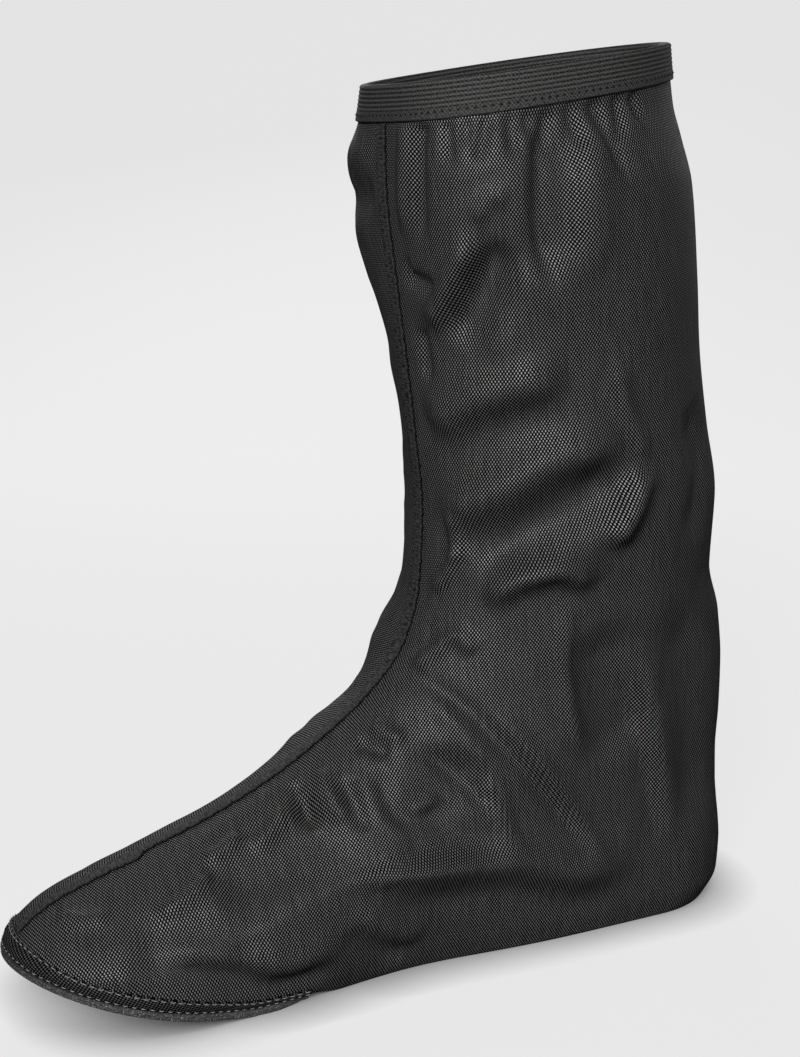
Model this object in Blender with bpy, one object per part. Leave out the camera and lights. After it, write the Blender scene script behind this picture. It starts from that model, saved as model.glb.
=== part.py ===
"""A long cycling overshoe: a woven shell over shoe and shin, a toe sole, a front seam and an elastic collar.

Metres, +Z up, floor at Z = 0. The toe points to -X and the wearer's left side faces -Y.
"""

import bpy
import numpy as np

# Driving sizes
GAP = 0.0003
WALL = 0.0012
HEM_TURN = 0.010
SOLE_THICKNESS = 0.0020
SOLE_OVERHANG = 0.0014
RAND_HEIGHT = 0.0055
RAND_END_HEIGHT = 0.0015
RAND_CLEARANCE = 0.0008
RAND_THICKNESS = 0.0008
SEAM_LEFT = 0.0010
SEAM_RIGHT = 0.0070
SEAM_THICKNESS = 0.0008
BAND_HEIGHT = 0.0125
BAND_THICKNESS = 0.0012

# Stations along the foot, measured from the middle of its length
BALL_X = -0.059
HEEL_X = 0.073
WAIST_X = -0.005
WAIST_REACH = 0.040
SOLE_END_X = -0.052
SOLE_STEP_LENGTH = 0.014

# The collar's rim: its height over X = 0 and its rise towards the calf
RIM_HEIGHT = 0.3270
RIM_RISE = 0.150

# Toe spring: how far the sole's underside stands off the floor
SPRING_COLUMNS = ("x", "lift")
SPRING = (
    (-0.1570, 0.0225),
    (-0.1450, 0.0182),
    (-0.1190, 0.0098),
    (-0.0920, 0.0032),
    (-0.0710, 0.0000),
    (-0.0570, 0.0000),
)

# Level sections through the shell. Front and back are the ends on the middle plane, ball and heel the
# half widths there, waist the dip between them, nose and counter the lengths of the round ends, and
# blunt the power of the nose's curve: 2 is an ellipse, more is squarer.
SECTION_COLUMNS = ("height", "front", "back", "ball", "heel", "waist", "nose", "counter", "blunt")
SECTIONS = (
    (0.000, -0.1500, 0.1485, 0.0412, 0.0405, 0.0055, 0.0620, 0.0410, 2.0),
    (0.010, -0.1510, 0.1530, 0.0450, 0.0425, 0.0050, 0.0600, 0.0390, 2.0),
    (0.023, -0.1520, 0.1535, 0.0475, 0.0430, 0.0040, 0.0610, 0.0390, 2.0),
    (0.031, -0.1470, 0.1530, 0.0468, 0.0430, 0.0030, 0.0680, 0.0400, 1.9),
    (0.040, -0.1335, 0.1520, 0.0455, 0.0428, 0.0020, 0.0860, 0.0410, 1.7),
    (0.049, -0.1090, 0.1515, 0.0440, 0.0425, 0.0010, 0.0980, 0.0420, 1.7),
    (0.061, -0.0740, 0.1515, 0.0430, 0.0425, 0.0000, 0.0960, 0.0440, 1.8),
    (0.079, -0.0360, 0.1525, 0.0425, 0.0430, 0.0000, 0.0880, 0.0460, 1.9),
    (0.099, -0.0070, 0.1530, 0.0430, 0.0435, 0.0000, 0.0780, 0.0500, 2.1),
    (0.120, 0.0095, 0.1510, 0.0450, 0.0450, 0.0000, 0.0700, 0.0560, 2.4),
    (0.141, 0.0155, 0.1455, 0.0470, 0.0470, 0.0000, 0.0640, 0.0600, 2.4),
    (0.169, 0.0170, 0.1460, 0.0500, 0.0500, 0.0000, 0.0620, 0.0620, 2.3),
    (0.200, 0.0135, 0.1400, 0.0510, 0.0510, 0.0000, 0.0600, 0.0620, 2.0),
    (0.230, 0.0095, 0.1345, 0.0530, 0.0530, 0.0000, 0.0610, 0.0620, 2.1),
    (0.257, 0.0060, 0.1315, 0.0550, 0.0550, 0.0000, 0.0620, 0.0620, 2.9),
    (0.293, 0.0015, 0.1265, 0.0565, 0.0565, 0.0000, 0.0620, 0.0610, 4.2),
    (0.310, 0.0010, 0.1220, 0.0530, 0.0530, 0.0000, 0.0600, 0.0600, 3.3),
    (0.322, 0.0010, 0.1190, 0.0495, 0.0495, 0.0000, 0.0590, 0.0590, 2.8),
    (0.355, 0.0020, 0.1150, 0.0475, 0.0475, 0.0000, 0.0570, 0.0570, 2.6),
)
COUNTER_POWER = 2.0

# Full places where the cloth stands off the instep: side 1 is the wearer's right, -1 the left
BULGE_COLUMNS = ("side", "x", "height", "reach_x", "reach_z", "depth")
BULGES = (
    (1, 0.017, 0.114, 0.034, 0.017, 0.0070),
    (1, -0.019, 0.079, 0.034, 0.017, 0.0055),
)
BULGE_BLEND = 0.024

# Finishes: linear colour and roughness
CLOTH = ((0.012, 0.012, 0.013), 0.7)
FELLED_CLOTH = ((0.012, 0.012, 0.013), 0.6)
GRIP_SOLE = ((0.024, 0.024, 0.024), 0.9)
ELASTIC = ((0.030, 0.029, 0.028), 0.8)

# Grids: places from the front seam to the back on each side, closer together at both, and rows hem to collar
SIDE_PLACES = 26
CROWDING = 0.35
ROWS = 36
RAND_PLACES = 36
RAND_ROWS = 2
SEAM_LANES = 3
SEAM_START = 0.026
SEAM_END = 0.996
BAND_ROWS = 2
SOLE_STRIPS = 22
SOLE_LANES = 6
SOLE_TIP_SHARE = 0.3
OUTLINE_SAMPLES = 180
PATH_SAMPLES = 160
EDGE_SAMPLES = 400
EDGE_ROUNDS = 12


def smooth_curve(knots, values):
    """A monotone cubic curve through a table's rows, with no overshoot between two of them."""
    knots = np.asarray(knots, float)
    values = np.asarray(values, float)
    step = np.diff(knots)
    rise = np.diff(values) / step
    slope = np.concatenate(([rise[0]], np.zeros(len(values) - 2), [rise[-1]]))
    before, after = rise[:-1], rise[1:]
    same_way = before * after > 0
    near = (2 * step[1:] + step[:-1])[same_way]
    far = (step[1:] + 2 * step[:-1])[same_way]
    slope[1:-1][same_way] = (near + far) / (near / before[same_way] + far / after[same_way])

    def curve(at):
        at = np.clip(at, knots[0], knots[-1])
        i = np.clip(np.searchsorted(knots, at, side="right") - 1, 0, len(step) - 1)
        t = (at - knots[i]) / step[i]
        start = (1 + 2 * t) * (1 - t) ** 2 * values[i] + t * (1 - t) ** 2 * step[i] * slope[i]
        end = t * t * (3 - 2 * t) * values[i + 1] + t * t * (t - 1) * step[i] * slope[i + 1]
        return start + end

    return curve


def table_curves(columns, rows):
    """One smooth curve for each column of a table, over its first column."""
    table = np.array(rows)
    return {name: smooth_curve(table[:, 0], table[:, n + 1]) for n, name in enumerate(columns[1:])}


SECTION = table_curves(SECTION_COLUMNS, SECTIONS)
LIFT = table_curves(SPRING_COLUMNS, SPRING)["lift"]


def ease(t):
    """0 to 1 with a soft start and end."""
    t = np.clip(t, 0, 1)
    return t * t * (3 - 2 * t)


def round_end(share, power):
    """A quarter oval: 0 at the end of a section, 1 where its side runs straight."""
    return (1 - (1 - np.clip(share, 0, 1)) ** power) ** (1 / power)


def half_width(x, height):
    """Half the width of the shell at a place along the foot and a height."""
    ball, heel = SECTION["ball"](height), SECTION["heel"](height)
    side = ball + (heel - ball) * ease((x - BALL_X) / (HEEL_X - BALL_X))
    side = side - SECTION["waist"](height) * np.exp(-(((x - WAIST_X) / WAIST_REACH) ** 2))
    nose = round_end((x - SECTION["front"](height)) / SECTION["nose"](height), SECTION["blunt"](height))
    counter = round_end((SECTION["back"](height) - x) / SECTION["counter"](height), COUNTER_POWER)
    return side * nose * counter


def outline_point(share, height):
    """X and half width at a share of the way round a level section, from its front end to its back end."""
    height = np.asarray(height, float)
    sweep = (1 - np.cos(np.linspace(0, np.pi, OUTLINE_SAMPLES))) / 2
    level = height[..., None]
    front, back = SECTION["front"](level), SECTION["back"](level)
    x = front + (back - front) * sweep
    y = half_width(x, level)
    run = np.cumsum(np.hypot(np.diff(x, axis=-1), np.diff(y, axis=-1)), axis=-1)
    run = np.concatenate((np.zeros_like(run[..., :1]), run), axis=-1)
    wanted = (np.broadcast_to(share, height.shape) * run[..., -1])[..., None]
    i = np.clip((run < wanted).sum(-1) - 1, 0, OUTLINE_SAMPLES - 2)[..., None]
    start, end = np.take_along_axis(run, i, -1), np.take_along_axis(run, i + 1, -1)
    t = (wanted - start) / (end - start)

    def between(values):
        before, after = np.take_along_axis(values, i, -1), np.take_along_axis(values, i + 1, -1)
        return (before * (1 - t) + after * t)[..., 0]

    return between(x), between(y)


def hem_height(x):
    """Height of the shell's lower edge: on top of the toe sole, then down to the floor behind it."""
    on_sole = 1 - ease((x - SOLE_END_X) / SOLE_STEP_LENGTH)
    return LIFT(x) + on_sole * (SOLE_THICKNESS + GAP)


def rim_height(x):
    """Height of the shell's upper edge, which rises towards the calf."""
    return RIM_HEIGHT + RIM_RISE * x


def edge_level(share, height_at):
    """Height at which a line up the shell meets an edge whose height depends on X."""
    height = np.full_like(share, height_at(0))
    for _ in range(EDGE_ROUNDS):
        height = height_at(outline_point(share, height)[0])
    return height


def shell_side(shares, rows):
    """Points of the shell's outer face on one side: rows from hem to collar, evenly spaced up each line."""
    low, high = edge_level(shares, hem_height), edge_level(shares, lambda x: rim_height(x) - BAND_HEIGHT)
    height = low + (high - low) * np.linspace(0, 1, PATH_SAMPLES)[:, None]
    x, y = outline_point(shares, height)
    path = np.stack((x, y, height), -1)
    run = np.cumsum(np.linalg.norm(np.diff(path, axis=0), axis=-1), axis=0)
    run = np.concatenate((np.zeros_like(run[:1]), run))
    lines = [np.interp(rows * run[-1, n], run[:, n], height[:, n]) for n in range(len(shares))]
    level = np.stack(lines, -1)
    x, y = outline_point(shares, level)
    return np.stack((x, y, level), -1)


def collar_side(shares):
    """Points of the shell's outer face on one side under the collar's tape, up to the rim."""
    rings = []
    for drop in np.linspace(BAND_HEIGHT, 0, BAND_ROWS + 1):
        level = edge_level(shares, lambda x: rim_height(x) - drop)
        rings.append(np.stack((*outline_point(shares, level), level), -1))
    return np.stack(rings)


def both_sides(side):
    """A closed ring of places: the left side from front to back, then the right side back to front."""
    return np.concatenate((side * (1, -1, 1), side[:, -2:0:-1]), axis=1)


def outward(grid, ring):
    """Unit normals of a grid of points, pointing out of the shell."""
    up = np.gradient(grid, axis=0)
    around = np.roll(grid, -1, axis=1) - np.roll(grid, 1, axis=1) if ring else np.gradient(grid, axis=1)
    normal = np.cross(around, up)
    return normal / np.linalg.norm(normal, axis=-1, keepdims=True)


def bulged(grid):
    """A ring grid with the full places of the cloth pushed out, clear of the front seam."""
    x, y, z = np.moveaxis(grid, -1, 0)
    rise = np.zeros_like(x)
    for row in BULGES:
        bulge = dict(zip(BULGE_COLUMNS, row))
        clear_of_seam = ease((bulge["side"] * y - SEAM_RIGHT) / BULGE_BLEND)
        along = (x - bulge["x"]) / bulge["reach_x"]
        upward = (z - bulge["height"]) / bulge["reach_z"]
        rise += bulge["depth"] * clear_of_seam * np.exp(-(along**2) - upward**2)
    return grid + outward(grid, True) * rise[..., None]


def finish(name, colour, roughness):
    """A plain dielectric material."""
    material = bpy.data.materials.new(name)
    material.use_nodes = True
    shader = material.node_tree.nodes["Principled BSDF"]
    shader.inputs["Base Color"].default_value = (*colour, 1)
    shader.inputs["Roughness"].default_value = roughness
    shader.inputs["Metallic"].default_value = 0
    return material


def sheet(name, grid, ring, thickness, material):
    """An object from a grid of points, given its thickness outwards, or inwards if that is negative."""
    rows, places = grid.shape[:2]
    index = np.arange(rows * places).reshape(rows, places)
    index = np.concatenate((index, index[:, :1]), axis=1) if ring else index
    faces = np.stack((index[:-1, :-1], index[:-1, 1:], index[1:, 1:], index[1:, :-1]), -1)
    mesh = bpy.data.meshes.new(name)
    mesh.from_pydata(grid.reshape(-1, 3).tolist(), [], faces.reshape(-1, 4).tolist())
    mesh.shade_smooth()
    mesh.materials.append(material)
    piece = bpy.data.objects.new(name, mesh)
    bpy.context.scene.collection.objects.link(piece)
    wall = piece.modifiers.new("wall", "SOLIDIFY")
    wall.thickness = abs(thickness)
    wall.offset = np.sign(thickness)
    wall.use_even_offset = True
    return piece


def place_shares():
    """Shares of the way round each side at which the shell and the collar have their points."""
    t = np.linspace(0, 1, SIDE_PLACES + 1)
    return t - CROWDING * np.sin(2 * np.pi * t) / (2 * np.pi)


def upper_shell():
    """The woven shell, with its lower margin turned flat under the foot and open inside that margin."""
    shares = place_shares()
    side = np.concatenate((shell_side(shares, np.linspace(0, 1, ROWS + 1)), collar_side(shares)[1:]))
    grid = bulged(both_sides(side))
    level = outward(grid, True)[0] * (1, 1, 0)
    margin = grid[0] - HEM_TURN * level / np.linalg.norm(level, axis=-1, keepdims=True)
    margin[:, 2] = hem_height(margin[:, 0])
    whole = np.concatenate((margin[None], grid))
    return sheet("upper_shell", whole, True, -WALL, finish("coated_cloth", *CLOTH))


def hem_edge():
    """X and half width along the hem from the toe to the heel, and the shares they were taken at."""
    shares = np.linspace(0, 1, EDGE_SAMPLES)
    return (*outline_point(shares, edge_level(shares, hem_height)), shares)


def toe_sole():
    """The sole under toe and ball: the hem's outline with a small overhang, cut straight behind the ball."""
    x, y, _ = hem_edge()
    along_x, along_y = np.gradient(x), np.gradient(y)
    length = np.hypot(along_x, along_y)
    edge_x = x - SOLE_OVERHANG * along_y / length
    edge_y = y + SOLE_OVERHANG * along_x / length
    reach = edge_x[0] + (SOLE_END_X - edge_x[0]) * np.linspace(0, 1, SOLE_STRIPS + 1) ** 2
    half = np.interp(reach, edge_x, edge_y)
    half[0] = half[1] * SOLE_TIP_SHARE
    across = half[:, None] * np.linspace(-1, 1, SOLE_LANES + 1)
    grid = np.stack(np.broadcast_arrays(reach[:, None], across, LIFT(reach)[:, None]), -1)
    return sheet("toe_sole", grid, False, -SOLE_THICKNESS, finish("grip_sole", *GRIP_SOLE))


def toe_rand():
    """The doubled margin stitched round the toe, tapering to both ends of the sole."""
    x, _, shares = hem_edge()
    end = np.interp(SOLE_END_X, x, shares)
    signed = np.linspace(-end, end, RAND_PLACES + 1)
    share = np.abs(signed)
    taper = ease(1 - share / end)
    low = edge_level(share, hem_height) + RAND_CLEARANCE
    height = RAND_END_HEIGHT + (RAND_HEIGHT - RAND_END_HEIGHT) * taper
    level = low + height * np.linspace(0, 1, RAND_ROWS + 1)[:, None]
    x, half = outline_point(share, level)
    grid = np.stack((x, -np.sign(signed) * half, level), -1)
    grid = grid + GAP * outward(grid, False)
    return sheet("toe_rand", grid, False, RAND_THICKNESS, finish("rand_cloth", *CLOTH))


def front_seam():
    """The felled seam that joins the two sides, from the rand over toe and instep to the collar."""
    even = np.linspace(0, 1, ROWS + 1)
    rows = np.concatenate(([SEAM_START], even[(even > SEAM_START) & (even < SEAM_END)], [SEAM_END]))
    level = shell_side(np.zeros(1), rows)[..., 2]
    y = np.linspace(SEAM_RIGHT, -SEAM_LEFT, SEAM_LANES + 1)
    power = SECTION["blunt"](level)
    off_middle = (np.abs(y) / SECTION["ball"](level)) ** power
    x = SECTION["front"](level) + SECTION["nose"](level) * (1 - (1 - off_middle) ** (1 / power))
    grid = np.stack(np.broadcast_arrays(x, y, level), -1)
    grid = grid + GAP * outward(grid, False)
    return sheet("front_seam", grid, False, SEAM_THICKNESS, finish("seam_cloth", *FELLED_CLOTH))


def collar_elastic():
    """Elastic tape folded over the rim, with one leg outside the shell and one inside."""
    wall = both_sides(collar_side(place_shares()))
    normal = outward(wall, True)
    outside = wall + GAP * normal
    inside = (wall - (WALL + GAP) * normal)[::-1]
    outside[-1, :, 2] += GAP
    inside[0, :, 2] += GAP
    whole = np.concatenate((outside, inside))
    return sheet("collar_elastic", whole, True, BAND_THICKNESS, finish("elastic", *ELASTIC))


def main():
    for old in list(bpy.data.objects):
        bpy.data.objects.remove(old)
    upper_shell()
    toe_sole()
    toe_rand()
    front_seam()
    collar_elastic()


main()
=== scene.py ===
"""A long cycling overshoe: a black woven shell with a felled front seam, a toe sole and a gathered collar.

Metres, +Z up, floor at Z = 0. The toe points to -X and the wearer's left side faces -Y.
"""

import bpy
import numpy as np
from mathutils import Matrix


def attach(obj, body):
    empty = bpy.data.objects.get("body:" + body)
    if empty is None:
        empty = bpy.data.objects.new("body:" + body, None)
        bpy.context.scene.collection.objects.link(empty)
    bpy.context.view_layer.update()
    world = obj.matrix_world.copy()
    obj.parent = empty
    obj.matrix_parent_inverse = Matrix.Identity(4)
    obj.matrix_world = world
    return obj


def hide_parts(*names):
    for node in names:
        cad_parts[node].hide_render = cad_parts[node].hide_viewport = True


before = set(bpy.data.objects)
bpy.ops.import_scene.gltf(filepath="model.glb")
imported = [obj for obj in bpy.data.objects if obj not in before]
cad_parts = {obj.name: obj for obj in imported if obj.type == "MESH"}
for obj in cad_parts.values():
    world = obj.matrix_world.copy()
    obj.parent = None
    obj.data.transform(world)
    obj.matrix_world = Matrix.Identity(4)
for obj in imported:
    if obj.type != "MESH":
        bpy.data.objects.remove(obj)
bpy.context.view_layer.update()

# The shell: two mirrored side panels of coarse black plain weave, coated inside, joined down the front
# and folded at the back. It is slack over shoe, ankle and shin, the collar gathers its upper edge, and
# its lower margin is turned under the foot. Its form is worked out from level sections of the last.
BALL_X = -0.059
HEEL_X = 0.073
WAIST_X = -0.005
WAIST_REACH = 0.040
SOLE_END_X = -0.052
SOLE_STEP_LENGTH = 0.014
SOLE_THICKNESS = 0.0020
SOLE_GAP = 0.0003
RIM_HEIGHT = 0.3270
RIM_RISE = 0.150
TAPE_HEIGHT = 0.0125
COUNTER_POWER = 2.0
SPRING_COLUMNS = ("x", "lift")
SPRING = (
    (-0.1570, 0.0225),
    (-0.1450, 0.0182),
    (-0.1190, 0.0098),
    (-0.0920, 0.0032),
    (-0.0710, 0.0000),
    (-0.0570, 0.0000),
)
SECTION_COLUMNS = ("height", "front", "back", "ball", "heel", "waist", "nose", "counter", "blunt")
SECTIONS = (
    (0.000, -0.1500, 0.1485, 0.0412, 0.0405, 0.0055, 0.0620, 0.0410, 2.0),
    (0.010, -0.1510, 0.1530, 0.0450, 0.0425, 0.0050, 0.0600, 0.0390, 2.0),
    (0.023, -0.1520, 0.1535, 0.0475, 0.0430, 0.0040, 0.0610, 0.0390, 2.0),
    (0.031, -0.1470, 0.1530, 0.0468, 0.0430, 0.0030, 0.0680, 0.0400, 1.9),
    (0.040, -0.1335, 0.1520, 0.0455, 0.0428, 0.0020, 0.0860, 0.0410, 1.7),
    (0.049, -0.1090, 0.1515, 0.0440, 0.0425, 0.0010, 0.0980, 0.0420, 1.7),
    (0.061, -0.0740, 0.1515, 0.0430, 0.0425, 0.0000, 0.0960, 0.0440, 1.8),
    (0.079, -0.0360, 0.1525, 0.0425, 0.0430, 0.0000, 0.0880, 0.0460, 1.9),
    (0.099, -0.0070, 0.1530, 0.0430, 0.0435, 0.0000, 0.0780, 0.0500, 2.1),
    (0.120, 0.0095, 0.1510, 0.0450, 0.0450, 0.0000, 0.0700, 0.0560, 2.4),
    (0.141, 0.0155, 0.1455, 0.0470, 0.0470, 0.0000, 0.0640, 0.0600, 2.4),
    (0.169, 0.0170, 0.1460, 0.0500, 0.0500, 0.0000, 0.0620, 0.0620, 2.3),
    (0.200, 0.0135, 0.1400, 0.0510, 0.0510, 0.0000, 0.0600, 0.0620, 2.0),
    (0.230, 0.0095, 0.1345, 0.0530, 0.0530, 0.0000, 0.0610, 0.0620, 2.1),
    (0.257, 0.0060, 0.1315, 0.0550, 0.0550, 0.0000, 0.0620, 0.0620, 2.9),
    (0.293, 0.0015, 0.1265, 0.0565, 0.0565, 0.0000, 0.0620, 0.0610, 4.2),
    (0.310, 0.0010, 0.1220, 0.0530, 0.0530, 0.0000, 0.0600, 0.0600, 3.3),
    (0.322, 0.0010, 0.1190, 0.0495, 0.0495, 0.0000, 0.0590, 0.0590, 2.8),
    (0.355, 0.0020, 0.1150, 0.0475, 0.0475, 0.0000, 0.0570, 0.0570, 2.6),
)
SIDE_PLACES = 160
ROWS = 268
TAPE_ROWS = 4
CROWDING = 0.35
OUTLINE_SAMPLES = 180
PATH_SAMPLES = 160
EDGE_ROUNDS = 12


def smooth_curve(knots, values):
    """A monotone cubic curve through a table's rows: each span's end slopes are harmonic means."""
    knots = np.asarray(knots, float)
    values = np.asarray(values, float)
    step = np.diff(knots)
    rise = np.diff(values) / step
    slope = np.concatenate(([rise[0]], np.zeros(len(values) - 2), [rise[-1]]))
    before, after = rise[:-1], rise[1:]
    same_way = before * after > 0
    near = (2 * step[1:] + step[:-1])[same_way]
    far = (step[1:] + 2 * step[:-1])[same_way]
    slope[1:-1][same_way] = (near + far) / (near / before[same_way] + far / after[same_way])

    def curve(at):
        at = np.clip(at, knots[0], knots[-1])
        i = np.clip(np.searchsorted(knots, at, side="right") - 1, 0, len(step) - 1)
        t = (at - knots[i]) / step[i]
        start = (1 + 2 * t) * (1 - t) ** 2 * values[i] + t * (1 - t) ** 2 * step[i] * slope[i]
        end = t * t * (3 - 2 * t) * values[i + 1] + t * t * (t - 1) * step[i] * slope[i + 1]
        return start + end

    return curve


def table_curves(columns, rows):
    """One smooth curve for each column of a table, over its first column."""
    table = np.array(rows)
    return {name: smooth_curve(table[:, 0], table[:, n + 1]) for n, name in enumerate(columns[1:])}


section = table_curves(SECTION_COLUMNS, SECTIONS)
lift = table_curves(SPRING_COLUMNS, SPRING)["lift"]


def ease(t):
    """0 to 1 with a soft start and end: three t squared less two t cubed."""
    t = np.clip(t, 0, 1)
    return t * t * (3 - 2 * t)


def unit(vectors):
    """Vectors of length 1."""
    return vectors / np.linalg.norm(vectors, axis=-1, keepdims=True)


def round_end(share, power):
    """A quarter oval: 0 at the end of a section, 1 where its side runs straight."""
    return (1 - (1 - np.clip(share, 0, 1)) ** power) ** (1 / power)


def half_width(x, height):
    """Half the shell's width: the side from ball to heel, less the waist, times both round ends."""
    ball, heel = section["ball"](height), section["heel"](height)
    side = ball + (heel - ball) * ease((x - BALL_X) / (HEEL_X - BALL_X))
    side = side - section["waist"](height) * np.exp(-(((x - WAIST_X) / WAIST_REACH) ** 2))
    nose = round_end((x - section["front"](height)) / section["nose"](height), section["blunt"](height))
    counter = round_end((section["back"](height) - x) / section["counter"](height), COUNTER_POWER)
    return side * nose * counter


def outline_point(share, height):
    """X and half width at a share of the length of a level section, from its front end to its back end."""
    height = np.asarray(height, float)
    sweep = (1 - np.cos(np.linspace(0, np.pi, OUTLINE_SAMPLES))) / 2
    level = height[..., None]
    front, back = section["front"](level), section["back"](level)
    x = front + (back - front) * sweep
    y = half_width(x, level)
    run = np.cumsum(np.hypot(np.diff(x, axis=-1), np.diff(y, axis=-1)), axis=-1)
    run = np.concatenate((np.zeros_like(run[..., :1]), run), axis=-1)
    wanted = (np.broadcast_to(share, height.shape) * run[..., -1])[..., None]
    i = np.clip((run < wanted).sum(-1) - 1, 0, OUTLINE_SAMPLES - 2)[..., None]
    start, end = np.take_along_axis(run, i, -1), np.take_along_axis(run, i + 1, -1)
    t = (wanted - start) / (end - start)

    def between(values):
        before, after = np.take_along_axis(values, i, -1), np.take_along_axis(values, i + 1, -1)
        return (before * (1 - t) + after * t)[..., 0]

    return between(x), between(y)


def hem_height(x):
    """Height of the shell's lower edge: on top of the toe sole, then down to the floor behind it."""
    on_sole = 1 - ease((x - SOLE_END_X) / SOLE_STEP_LENGTH)
    return lift(x) + on_sole * (SOLE_THICKNESS + SOLE_GAP)


def rim_height(x):
    """Height of the shell's upper edge, which rises in a straight line towards the calf."""
    return RIM_HEIGHT + RIM_RISE * x


def edge_level(share, height_at):
    """Height at which a line up the shell meets an edge whose height depends on X, found by repetition."""
    height = np.full_like(share, height_at(0))
    for _ in range(EDGE_ROUNDS):
        height = height_at(outline_point(share, height)[0])
    return height


def panel_side(shares, rows):
    """One side of the last: rows are shares of each line's length from the hem to the collar's tape."""
    low, high = edge_level(shares, hem_height), edge_level(shares, lambda x: rim_height(x) - TAPE_HEIGHT)
    height = low + (high - low) * np.linspace(0, 1, PATH_SAMPLES)[:, None]
    x, y = outline_point(shares, height)
    run = np.cumsum(np.linalg.norm(np.diff(np.stack((x, y, height), -1), axis=0), axis=-1), axis=0)
    run = np.concatenate((np.zeros_like(run[:1]), run))
    lines = [np.interp(rows * run[-1, n], run[:, n], height[:, n]) for n in range(len(shares))]
    level = np.stack(lines, -1)
    return np.stack((*outline_point(shares, level), level), -1)


def rim_side(shares, drops):
    """One side of the last under the collar's tape: a row of points at each drop below the rim."""
    levels = np.stack([edge_level(shares, lambda x: rim_height(x) - drop) for drop in drops])
    return np.stack((*outline_point(shares, levels), levels), -1)


def whole_ring(left, right):
    """Columns of the left side from front to back, then those of the right side from back to front."""
    return np.concatenate((left, right[:, -2:0:-1]), axis=1)


def both_sides(side):
    """A side of the last and its mirror image as one closed ring of columns."""
    return whole_ring(side * (1, -1, 1), side)


def outward(grid, ring):
    """Unit normals of a grid of points: the way round crossed with the way up."""
    up = np.gradient(grid, axis=0)
    around = np.roll(grid, -1, axis=1) - np.roll(grid, 1, axis=1) if ring else np.gradient(grid, axis=1)
    return unit(np.cross(around, up))


def place_shares(places):
    """Shares of the way round a side, closer together at the front seam and at the back."""
    t = np.linspace(0, 1, places + 1)
    return t - CROWDING * np.sin(2 * np.pi * t) / (2 * np.pi)


# The panel laid flat, from which weave and folds are measured: forward of the back fold, and up
NET_STEP = 4
NET_ROUNDS = 1500
NET_PULL = 0.10
NET_DRAG = 0.95
UPRIGHT_FROM = 0.55
UPRIGHT_TO = 0.90


def lay_flat(side):
    """A net that starts from lengths round the rows and settles until all its threads have true lengths."""
    ends = (
        (np.s_[:, 1:], np.s_[:, :-1]),
        (np.s_[1:], np.s_[:-1]),
        (np.s_[1:, 1:], np.s_[:-1, :-1]),
        (np.s_[1:, :-1], np.s_[:-1, 1:]),
    )
    lengths = [np.linalg.norm(side[a] - side[b], axis=-1) for a, b in ends]
    spans = np.linalg.norm(np.diff(side[:, ::-1], axis=1), axis=-1)
    forward = np.concatenate((np.zeros_like(spans[:, :1]), np.cumsum(spans, axis=1)), axis=1)[:, ::-1]
    flat = np.stack((forward, side[..., 2]), -1)
    speed = np.zeros_like(flat)
    for _ in range(NET_ROUNDS):
        pull = np.zeros_like(flat)
        for (a, b), length in zip(ends, lengths):
            thread = flat[a] - flat[b]
            stretch = thread * (1 - length / np.linalg.norm(thread, axis=-1))[..., None]
            pull[a] -= stretch
            pull[b] += stretch
        speed = NET_DRAG * speed + NET_PULL * pull
        flat = flat + speed
    low, high = (flat[int(share * len(flat)), -1] for share in (UPRIGHT_FROM, UPRIGHT_TO))
    up = unit(high - low)
    return (flat - flat[0, -1]) @ np.array(((up[1], up[0]), (-up[0], up[1])))


def finer(values, axis, step):
    """Values between those of a grid, by straight interpolation along one axis."""
    count = (values.shape[axis] - 1) * step
    at = np.arange(count + 1) / step
    i = np.minimum(at.astype(int), values.shape[axis] - 2)
    shape = [1] * values.ndim
    shape[axis] = -1
    t = (at - i).reshape(shape)
    return np.take(values, i, axis) * (1 - t) + np.take(values, i + 1, axis) * t


shares = place_shares(SIDE_PLACES)
tape_drops = np.linspace(TAPE_HEIGHT, 0, TAPE_ROWS + 1)[1:]
side = np.concatenate((panel_side(shares, np.linspace(0, 1, ROWS + 1)), rim_side(shares, tape_drops)))
flat = finer(finer(lay_flat(side[::NET_STEP, ::NET_STEP]), 0, NET_STEP), 1, NET_STEP)

# Creases and slack on the panel, in millimetres. A fold has a kind and a path (forward, up). A kind's rise
# is the height of its ridge or the depth of its trough, and its tilt lifts the cloth left of the path.
FOLD_KIND_COLUMNS = ("rise", "tilt", "width")
FOLD_KINDS = {
    "gather": (-2.4, 0.0, 2.7),
    "deep gather": (-3.0, 0.0, 3.7),
    "trough": (-2.8, 0.0, 3.5),
    "ridge": (2.2, 0.0, 4.0),
    "hollow": (-3.0, 0.0, 8.0),
    "puff": (3.4, 0.0, 8.0),
    "crease": (-2.0, 2.5, 3.8),
    "tuck": (2.0, 2.5, 3.8),
    "step": (0.0, 5.0, 7.0),
    "fold": (4.0, 5.0, 6.5),
    "overhang": (5.0, 6.5, 10.5),
    "shelf": (-2.5, 8.0, 11.0),
    "slope": (-3.0, 5.0, 17.0),
}
FOLD_COLUMNS = ("place", "kind", "path")
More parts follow.
